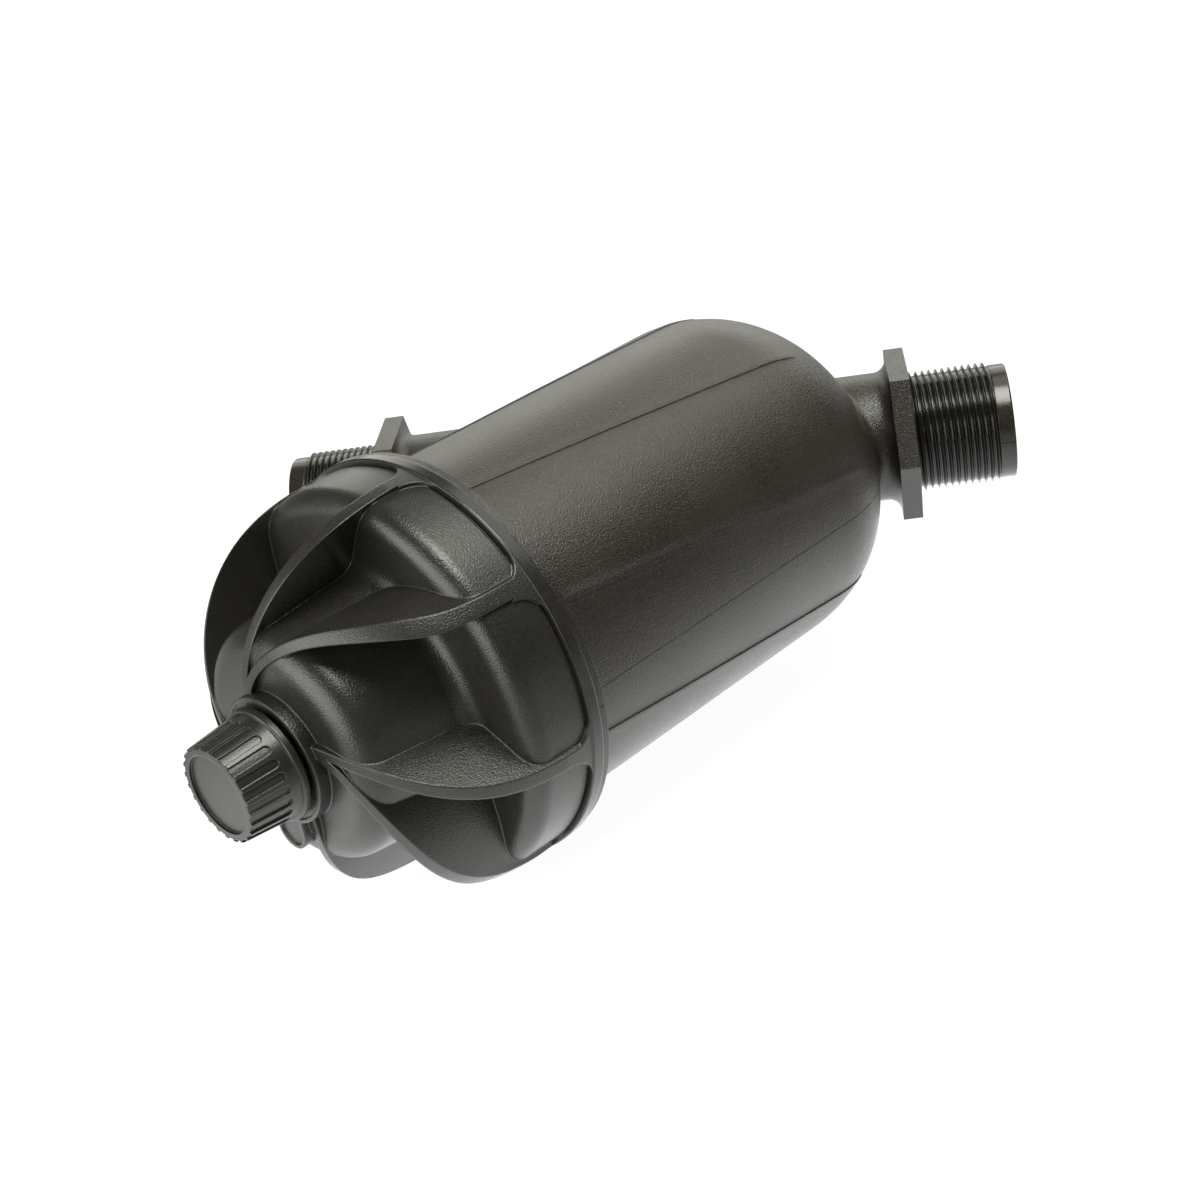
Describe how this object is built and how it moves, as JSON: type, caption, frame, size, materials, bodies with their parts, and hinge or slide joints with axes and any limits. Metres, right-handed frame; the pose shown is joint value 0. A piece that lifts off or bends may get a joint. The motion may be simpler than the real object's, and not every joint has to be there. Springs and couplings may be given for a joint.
{
  "type": "y filter",
  "caption": "Plastic Y filter: a domed tank on an angled, threaded pipe run, closed by a finned screw lid with a fluted flush cap, with a mesh screen inside.",
  "frame": {"origin": "middle of the inlet port's end face, which is the threaded port beside the domed end", "axes": "+X along the tank axis, from the lid toward the dome; +Z at right angles to the plane that holds the tank axis and the pipe axis; the pipe runs in the XY plane at 49 degrees to X"},
  "size_m": [0.3166, 0.2176, 0.1334],
  "materials": {
    "body_plastic": "fine moulded grain, satin, charcoal",
    "lid_plastic": "fine moulded grain, satin, charcoal",
    "cap_plastic": "fine moulded grain, satin, charcoal",
    "screen_plastic": "plain moulded, satin, black",
    "screen_steel": "fine woven mesh, stainless",
    "seal_rubber": "matte, black"
  },
  "bodies": {
    "tank": {"filter_body": "body_plastic", "screen_cage": "screen_plastic", "screen_mesh": "screen_steel", "screen_inlet_collar": "screen_plastic", "screen_lid_collar": "screen_plastic", "screen_inlet_seal": "seal_rubber", "screen_lid_seal": "seal_rubber"},
    "lid_seal": {"lid_gasket": "seal_rubber"},
    "lid": {"lid": "lid_plastic"},
    "cap_seal": {"flush_cap_gasket": "seal_rubber"},
    "flush_cap": {"flush_cap": "cap_plastic"}
  },
  "joints": [
    {"name": "lid_lift", "type": "slide", "parent": "tank", "child": "lid_seal", "axis": [-1, 0, 0], "range_m": [0, 0.0121]},
    {"name": "lid_turn", "type": "hinge", "parent": "lid_seal", "child": "lid", "pos_m": [-0.21801, 0.06111, 0], "axis": [-1, 0, 0], "range_deg": [0, 1080]},
    {"name": "cap_lift", "type": "slide", "parent": "lid", "child": "cap_seal", "axis": [-1, 0, 0], "range_m": [0, 0.00917]},
    {"name": "cap_turn", "type": "hinge", "parent": "cap_seal", "child": "flush_cap", "pos_m": [-0.29301, 0.06111, 0], "axis": [-1, 0, 0], "range_deg": [0, 1800]}
  ],
  "couplings": [
    {"joint": "lid_lift", "follows": "lid_turn", "m_per_rad": 0.00063662},
    {"joint": "cap_lift", "follows": "cap_turn", "m_per_rad": 0.00028871}
  ]
}
